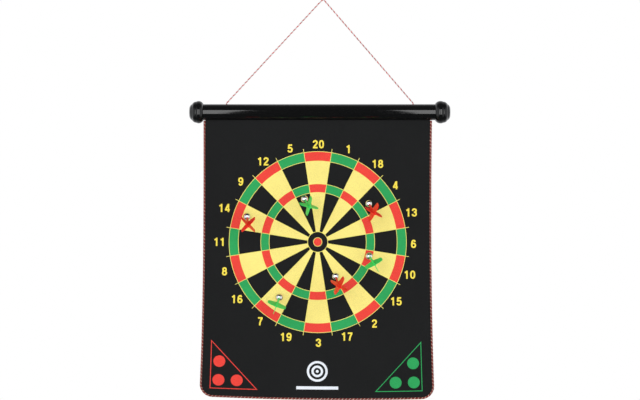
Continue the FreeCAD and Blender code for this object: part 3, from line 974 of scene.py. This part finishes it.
class DARTBOARD_OT_strip(DartboardOperator, bpy.types.Operator):
    """Finish on the strip and rivets that hold the mat inside the tube"""

    bl_idname = "dartboard.strip"
    bl_label = "Strip and rivets"

    def build(self, context):
        grey = (0.10, 0.10, 0.105, 1.0)
        refinish("retaining_strip", hard("grey_strip", grey, 0.45, 0.4, 0.1))
        bright = (0.62, 0.60, 0.57, 1.0)
        refinish("strip_rivets", hard("bright_rivets", bright, 0.32, 0.5, 0.1, Metallic=1.0))


class DARTBOARD_OT_target(DartboardOperator, bpy.types.Operator):
    """Printed target: sectors, rings and thin lines"""

    bl_idname = "dartboard.target"
    bl_label = "Printed target"

    def build(self, context):
        s, c = sizes(), colours()
        bull = (MAT_X + s.target_side, TUBE_Z - s.target_drop)
        wide = 2 * math.pi / len(DIAL)
        tall = {"tall": s.target_tall}
        rings = ((s.triple_inside, s.triple_outside), (s.double_inside, s.double_outside))
        fields = ((s.bull_radius, s.triple_inside), (s.triple_outside, s.double_inside))
        yellow, red, green = [], [ring_slab(bull, 0.0, s.eye_radius, **tall)], []
        for number in range(len(DIAL)):
            start, end = (number - 0.5) * wide, (number + 0.5) * wide
            bright = number % 2 == 0
            ring_ink = red if bright else green
            ring_ink += [ring_slab(bull, inside, outside, start, end, **tall)
                         for inside, outside in rings]
            if bright:
                yellow += [ring_slab(bull, inside, outside, start, end, **tall)
                           for inside, outside in fields]
        lines = self.lines(bull, wide, s)
        inks = (("yellow", yellow, c.yellow), ("red", red, c.red), ("green", green, c.green),
                ("lines", lines, c.line))
        for name, parts, shade in inks:
            add_print(name, parts, name, shade)

    def lines(self, bull, wide, s):
        """Rings at every change of field, and a spoke between every two sectors."""
        half = s.line_width / 2
        over = s.ink / 2
        radii = (s.bull_radius, s.triple_inside, s.triple_outside, s.double_inside,
                 s.double_outside, s.eye_radius + half)
        parts = [ring_slab(bull, radius - half, radius + half, lift=over, tall=s.target_tall)
                 for radius in radii]
        for number in range(len(DIAL)):
            angle = (number + 0.5) * wide
            out = np.array([math.sin(angle), math.cos(angle)])
            aside = np.array([out[1], -out[0]]) * half
            out *= [1.0, s.target_tall]
            ends = np.array([bull + out * s.bull_radius, bull + out * s.spoke_reach])
            parts.append(strip_slab(ends - aside, ends + aside, lift=2 * over))
        return parts


class DARTBOARD_OT_numerals(DartboardOperator, bpy.types.Operator):
    """The twenty dial numbers, upright round the target"""

    bl_idname = "dartboard.numerals"
    bl_label = "Dial numbers"

    def build(self, context):
        s = sizes()
        parts = []
        for place, value in enumerate(DIAL):
            angle = 2 * math.pi * place / len(DIAL)
            right, up = NUDGES[value]
            across = s.numeral_radius * math.sin(angle)
            above = s.target_tall * s.numeral_radius * math.cos(angle)
            middle = (MAT_X + s.target_side + across + right / 1000,
                      TUBE_Z - s.target_drop + above + up / 1000)
            parts += self.number(str(value), middle)
        add_print("numerals", parts, "gold", colours().gold)

    def number(self, text, middle):
        """The strokes of one number, centred on its middle, each as a thin closed plate."""
        s = sizes()
        width = FIGURE_PITCH * (len(text) - 1) + FIGURE_WIDTH
        parts = []
        for place, figure in enumerate(text):
            start = np.array([FIGURE_PITCH * place - width / 2, -0.5])
            for level, stroke in enumerate(FIGURES[figure]):
                closed = stroke[0] == stroke[-1]
                path = middle + (smooth_path(np.array(stroke), closed) + start) * s.numeral_height
                looped = np.concatenate([path[-1:], path, path[:1]])
                ahead = heading(looped)[1:-1] if closed else heading(path)
                aside = np.stack([-ahead[:, 1], ahead[:, 0]], 1) * s.numeral_weight / 2
                lift = level * s.ink / 4
                parts.append(strip_slab(path + aside, path - aside, lift, steps=1, closed=closed))
        return parts


class DARTBOARD_OT_racks(DartboardOperator, bpy.types.Operator):
    """A printed triangle with three spots in each bottom corner, where the darts wait"""

    bl_idname = "dartboard.racks"
    bl_label = "Dart racks"

    def build(self, context):
        c = colours()
        for side, name, shade in ((-1, "red", c.red), (1, "green", c.green)):
            add_print(f"rack_{name}", self.rack(side), name, shade)

    def rack(self, side):
        """An outlined right triangle and three spots, mirrored for the other side of the mat."""
        s = sizes()
        in_green, down_green = (0.0030, 0.0015) if side > 0 else (0.0, 0.0)
        x = MAT_X + side * (MAT_HALF - s.rack_edge - in_green)
        z = EDGE_LOW[2] + s.rack_bottom - down_green
        outer = np.array([[x, z + s.rack_tall], [x, z], [x - side * s.rack_width, z]])
        inner = self.inset(outer, s.rack_line)
        spots = ((0.0130, 0.0139), (0.0408, 0.0140), (0.0134, 0.0436))
        dots = [ring_slab((x - side * across, z + up), 0.0, s.rack_dot) for across, up in spots]
        return [strip_slab(outer, inner, closed=True), *dots]

    def inset(self, outline, width):
        """The triangle moved inwards by a width.

        Each corner moves along the line between its two edges, by the width over the sine of
        half its angle.
        """
        after = unit(np.roll(outline, -1, axis=0) - outline)
        before = unit(np.roll(outline, 1, axis=0) - outline)
        half = np.arccos((after * before).sum(1, keepdims=True)) / 2
        return outline + unit(after + before) * width / np.sin(half)


class DARTBOARD_OT_emblem(DartboardOperator, bpy.types.Operator):
    """A plain roundel over a bar, printed white at the foot of the mat"""

    bl_idname = "dartboard.emblem"
    bl_label = "Roundel"

    def build(self, context):
        s, c = sizes(), colours()
        middle = (MAT_X, TUBE_Z - s.emblem_drop)
        radius = s.emblem_radius
        bar_half, bar_top, bar_bottom = 2.0 * radius, 1.45 * radius, 1.75 * radius
        across = np.array([[-bar_half, 0.0], [bar_half, 0.0]]) + middle
        rings = ((0.78, 1.0), (0.34, 0.56), (0.0, 0.14))
        parts = [ring_slab(middle, inside * radius, outside * radius) for inside, outside in rings]
        parts.append(strip_slab(across - [0.0, bar_top], across - [0.0, bar_bottom]))
        add_print("roundel", parts, "white", c.white)


class DARTBOARD_OT_mat(DartboardOperator, bpy.types.Operator):
    """The mat's three layers: printed cloth, magnetic core and back cloth"""

    bl_idname = "dartboard.mat"
    bl_label = "Mat"

    def build(self, context):
        c = colours()
        print_pieces = [o for o in bpy.data.objects if o.name.startswith("print_")]
        front = flock("flock_black", c.cloth)
        rubber = hard("core_rubber", c.core, 0.7, 0.3, 0.2)
        rear = flock("flock_back", c.cloth, 0.35)
        layers = (
            ("printed_cloth", "front_cloth", "printed_flock", front, print_pieces),
            ("core_sheet", "magnetic_core", "magnetic_rubber", rubber, ()),
            ("rear_cloth", "back_cloth", "back_flock", rear, ()),
        )
        for name, node, slot, material, pieces in layers:
            low, high = corners(node)
            piece = add_piece(name, self.layer(low, high), BOARD, [material])
            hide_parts(node)

    def layer(self, low, high):
        """A closed sheet: rows run down the mat and columns across, with round bottom corners.

        A row's half width is the full one down to the corners, and below that is what a quarter
        circle leaves: the straight part plus the root of the radius squared less the drop squared.
        """
        radius, straight_rows, turned_rows, columns = 0.0172, 110, 12, 91
        half = (high[0] - low[0]) / 2
        turned = radius * np.sin(np.linspace(0, np.pi / 2, turned_rows)[1:])
        drop = np.concatenate([np.zeros(straight_rows), turned])
        straight = np.linspace(high[2], low[2] + radius, straight_rows)
        z = np.concatenate([straight, low[2] + radius - turned])
        reach = half - radius + np.sqrt(np.maximum(radius**2 - drop**2, 0))
        across = np.linspace(-1, 1, columns)
        flat = np.zeros((len(z), len(across), 3))
        flat[..., 0] = MAT_X + reach[:, None] * across
        flat[..., 2] = z[:, None]
        front, back = hang(flat), hang(flat)
        front[..., 1] += low[1]
        back[..., 1] += high[1]
        points, quads, _ = slab(front, back)
        return turned_out(make_mesh("layer", points, quads))


class DARTBOARD_OT_stitching(DartboardOperator, bpy.types.Operator):
    """Red and cream thread wound over the mat's edge, down both sides and along the bottom"""

    bl_idname = "dartboard.stitching"
    bl_label = "Edge stitching"

    def build(self, context):
        s, c = sizes(), colours()
        step, sides = 0.00058, 5
        path, along = evenly(self.edge_line(), step)
        depth = np.tile([0.0, 1.0, 0.0], (len(path), 1))
        aside = np.cross(heading(path), depth)
        radius, bite = s.thread / 2, 0.0003
        half_width = STITCH_WIDTH / 2 - radius + bite
        half_depth = (EDGE_HIGH[1] - EDGE_LOW[1]) / 2 - radius
        turns = [2 * math.pi * k / s.stitch_strands for k in range(s.stitch_strands)]
        runs = [twisted(path, along, aside, depth, s.stitch_pitch, turn, half_width, half_depth)
                for turn in turns]
        runs = [(hang(run), out) for run, out in runs]
        cream = 1
        threads = (("edge_thread_cream", runs[:cream], c.thread_cream, "edge_stitching"),
                   ("edge_thread_red", runs[cream:], c.thread_red, None))
        for name, chosen, shade, node in threads:
            points, quads, ends, lay, _ = strands(chosen, radius, sides)
            mesh = make_mesh(name, points, quads, ends, lay)
            piece = add_piece(name, mesh, BOARD, [spun(name, shade, 0.8)])
            if node:
                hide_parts(node)

    def edge_line(self):
        """The middle of the sewn edge: down the left, round two quarter circles, up the right."""
        inset, outer_radius = STITCH_WIDTH / 2, 0.020
        radius = outer_radius - inset
        left, right = EDGE_LOW[0] + inset, EDGE_HIGH[0] - inset
        top, bottom = EDGE_HIGH[2], EDGE_LOW[2] + inset
        turn = np.linspace(0, np.pi / 2, 24)
        near, far = radius * (1 - np.cos(turn)), radius * (1 - np.sin(turn))
        x = np.concatenate([[left], left + near, right - far, [right]])
        z = np.concatenate([[top], bottom + far, bottom + near, [top]])
        return np.stack([x, np.zeros(len(x)), z], 1)


class DARTBOARD_OT_darts(DartboardOperator, bpy.types.Operator):
    """Six darts: chromed ball, disc magnet, stem and four-winged flight"""

    bl_idname = "dartboard.darts"
    bl_label = "Darts"

    def build(self, context):
        c = colours()
        chrome = hard("polished_chrome", (0.83, 0.84, 0.86, 1.0), 0.05, 0.25, 0.05, Metallic=1.0)
        nickel = hard("dull_nickel", (0.52, 0.51, 0.49, 1.0), 0.28, 0.5, 0.05, Metallic=1.0)
        for name in DARTS:
            kind = name.split("_")[0]
            shade = c.dart_red if kind == "red" else c.dart_green
            # Painted light: the flights glow faintly in their own colour, standing in for light
            # that shines through the thin plastic.
            plastic = hard(f"flight_{kind}", shade, 0.42, 0.15, 0.0, IOR=1.40, Emission_Color=shade,
                           Emission_Strength=0.13)
            refinish(f"{name}_magnet", nickel)
            ball = add_piece(f"{name}_bead", self.ball(name), name, [chrome])
            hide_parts(f"{name}_ball")
            mesh = self.flight(name)
            wings = add_piece(f"{name}_wings", mesh, name, [plastic])
            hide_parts(f"{name}_flight")

    def ball_place(self, name):
        """The middle of a dart's ball, its radius and its flat's distance behind the middle."""
        low, high = corners(f"{name}_ball")
        radius = (high[0] - low[0]) / 2
        centre = np.array([(low[0] + high[0]) / 2, low[1] + radius, (low[2] + high[2]) / 2])
        return centre, radius, high[1] - centre[1]

    def ball(self, name):
        """A ball cut flat against the mat, with the magnet's pocket, turned about Y.

        From the tip of the ball the profile is a circle as far as the flat, then the flat, the
        pocket's wall and its floor.
        """
        centre, radius, flat = self.ball_place(name)
        magnet_low, magnet_high = corners(f"{name}_magnet")
        gap = 0.00005
        pocket = (magnet_high[0] - magnet_low[0]) / 2 + gap
        floor = magnet_low[1] - centre[1] - gap
        turn = np.linspace(0, math.acos(-flat / radius), 40)
        outside = np.stack([-radius * np.cos(turn), radius * np.sin(turn)], 1)
        inside = [(flat, pocket), ((flat + floor) / 2, pocket), (floor, pocket),
                  (floor, pocket / 2), (floor, 0.0)]
        points, quads, fans = lathe(np.array([*outside, *inside]), centre, (0.0, 1.0, 0.0), 72)
        return turned_out(make_mesh(f"{name}_bead", points, quads, fans))

    def flight(self, name):
        """The stem, and two wings crossed at right angles along it, all leaning with the dart."""
        centre = self.ball_place(name)[0]
        right, down, roll = LEANS[name]
        out = math.sqrt(LEAN_ARM**2 - right**2 - down**2)
        axis = np.array([right, -out, -down]) / LEAN_ARM
        level = np.cross([0.0, -1.0, 0.0], axis)
        turns = math.radians(roll), math.radians(roll + 90)
        first, second = (leaned(np.array([math.cos(a), 0.0, math.sin(a)]), level) for a in turns)
        parts = [self.wing(centre, axis, first, second), self.wing(centre, axis, second, first),
                 self.stem(centre, axis)]
        return turned_out(make_mesh(f"{name}_wings", *gathered(parts)))

    def wing(self, centre, axis, across, through):
        """Both halves of one wing, from tip to tip.

        Each section is a rounded plate: with the angle going round it, the chord follows the
        cosine and the thickness the sine, each to the power of a half. The chord runs from a
        straight leading edge to a trailing edge that curves in with the cube of the span, and
        beyond the corners it shrinks to nothing as a quarter ellipse.
        """
        start, root_chord, half_span, corner = 0.031, 0.029, 0.015, 0.0132
        sweep, cut = 0.24, 0.14
        thin, root, root_width = 0.00048, 0.00045, 0.0026
        span = half_span * np.sin(np.linspace(-np.pi / 2, np.pi / 2, 45))
        inner = np.minimum(np.abs(span), corner) / corner
        front = start + sweep * root_chord * inner
        rear = start + root_chord * (1.0 - cut * inner**3)
        beyond = np.clip((np.abs(span) - corner) / (half_span - corner), 0, 1)
        chord = (rear - front) / 2 * np.sqrt(1 - beyond**2)
        middle = (front + rear) / 2
        thick = thin + root * np.exp(-((span / root_width) ** 2))
        thick *= np.sqrt(1 - beyond**4) * 0.999 + 0.001
        angle = np.linspace(0, 2 * np.pi, 28, endpoint=False)
        round_it = [np.sign(f) * np.abs(f) ** 0.5 for f in (np.cos(angle), np.sin(angle))]
        along = middle[:, None] + chord[:, None] * round_it[0]
        deep = thick[:, None] * round_it[1]
        points = (centre + along[..., None] * axis + span[:, None, None] * across
                  + deep[..., None] * through)
        quads, _ = grid_quads(*points.shape[:2], wrap=True)
        return points.reshape(-1, 3), quads, []

    def stem(self, centre, axis):
        """A round stem that tapers to its tail and ends in half a ball."""
        foot, tail, radius, straight = 0.0023, 0.0615, 0.0015, (0.020, 0.031)
        tip = 0.8 * radius
        turn = np.linspace(0, np.pi / 2, 8)
        rounded = np.stack([tail - tip + tip * np.sin(turn), tip * np.cos(turn)], 1)
        sides = [(along, radius) for along in (foot, *straight)]
        profile = np.array([(foot, 0.0), *sides, *rounded])
        return lathe(profile, centre, axis, 20)


# --- Panel and registration --------------------------------------------------------------------

OPERATORS = (
    DARTBOARD_OT_stage,
    DARTBOARD_OT_string,
    DARTBOARD_OT_knots,
    DARTBOARD_OT_tube,
    DARTBOARD_OT_caps,
    DARTBOARD_OT_strip,
    DARTBOARD_OT_target,
    DARTBOARD_OT_numerals,
    DARTBOARD_OT_racks,
    DARTBOARD_OT_emblem,
    DARTBOARD_OT_mat,
    DARTBOARD_OT_stitching,
    DARTBOARD_OT_darts,
)


class DARTBOARD_PT_sidebar(bpy.types.Panel):
    bl_label = "Dartboard"
    bl_idname = "DARTBOARD_PT_sidebar"
    bl_space_type = "VIEW_3D"
    bl_region_type = "UI"
    bl_category = "Dartboard"

    def draw(self, context):
        for group in (context.scene.dartboard_sizes, context.scene.dartboard_colours):
            column = self.layout.column()
            for name in group.__annotations__:
                column.prop(group, name)
        for operator in OPERATORS:
            self.layout.operator(operator.bl_idname)


CLASSES = (DartboardSizes, DartboardColours, *OPERATORS, DARTBOARD_PT_sidebar)


def register():
    for each in CLASSES:
        bpy.utils.register_class(each)
    bpy.types.Scene.dartboard_sizes = PointerProperty(type=DartboardSizes)
    bpy.types.Scene.dartboard_colours = PointerProperty(type=DartboardColours)


def unregister():
    del bpy.types.Scene.dartboard_colours
    del bpy.types.Scene.dartboard_sizes
    for each in reversed(CLASSES):
        bpy.utils.unregister_class(each)


def main():
    register()
    for operator in OPERATORS:
        getattr(bpy.ops.dartboard, operator.bl_idname.split(".")[1])()


if __name__ == "__main__":
    main()
